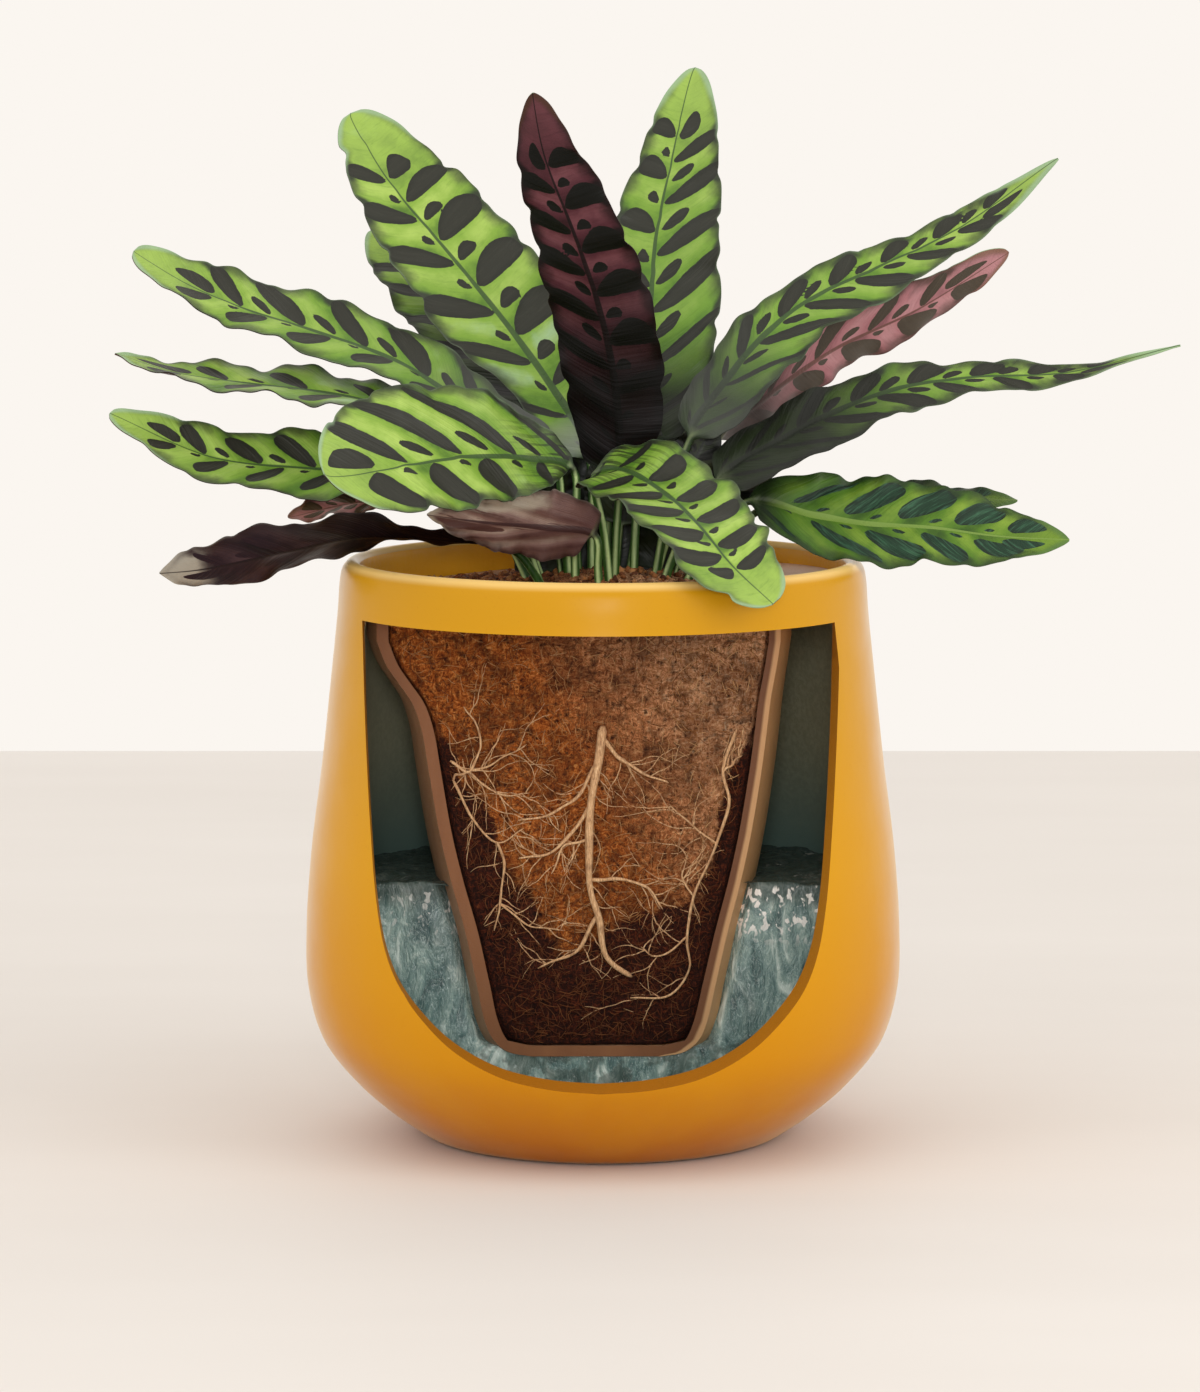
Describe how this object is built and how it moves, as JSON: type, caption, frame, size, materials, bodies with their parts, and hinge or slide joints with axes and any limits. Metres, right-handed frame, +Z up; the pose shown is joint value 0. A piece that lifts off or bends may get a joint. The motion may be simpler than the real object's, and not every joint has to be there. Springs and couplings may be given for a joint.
{
  "type": "potted rattlesnake plant in a cutaway self-watering pot",
  "caption": "Leafy prayer plant with dark-blotched wavy leaves in a round double pot; a window cut in the pot shows soil, roots and water.",
  "frame": {"origin": "middle of the outer pot's foot, on the surface it stands on", "axes": "+Z up, -Y to the side with the window, +X to the right seen from that side"},
  "size_m": [0.3945, 0.2593, 0.3942],
  "materials": {
    "glazed_pot": "gloss",
    "clay_insert": "satin",
    "potting_mix": "matte",
    "water": "gloss",
    "root": "matte",
    "leaf_green": "satin",
    "leaf_deep_green": "satin",
    "leaf_purple_back": "satin"
  },
  "bodies": {
    "root": {"outer_pot": "glazed_pot", "inner_pot": "clay_insert", "soil": "potting_mix", "water": "water", "roots_centre": "root", "roots_left": "root", "roots_right": "root", "leaf_tall_left": "leaf_green", "leaf_behind_left": "leaf_green", "leaf_centre_purple": "leaf_purple_back", "leaf_tall_right": "leaf_green", "leaf_upper_right": "leaf_green", "leaf_rose_right": "leaf_purple_back", "leaf_long_right": "leaf_green", "leaf_low_right": "leaf_deep_green", "leaf_small_right": "leaf_green", "leaf_upper_left": "leaf_green", "leaf_thin_left": "leaf_green", "leaf_front_left": "leaf_green", "leaf_mid_left": "leaf_green", "leaf_drooping_left": "leaf_purple_back", "leaf_small_left": "leaf_purple_back", "leaf_front_mauve": "leaf_purple_back", "leaf_front_right": "leaf_green", "leaf_back_right": "leaf_green", "leaf_back_left": "leaf_green", "leaf_back_centre": "leaf_green"}
  },
  "joints": []
}
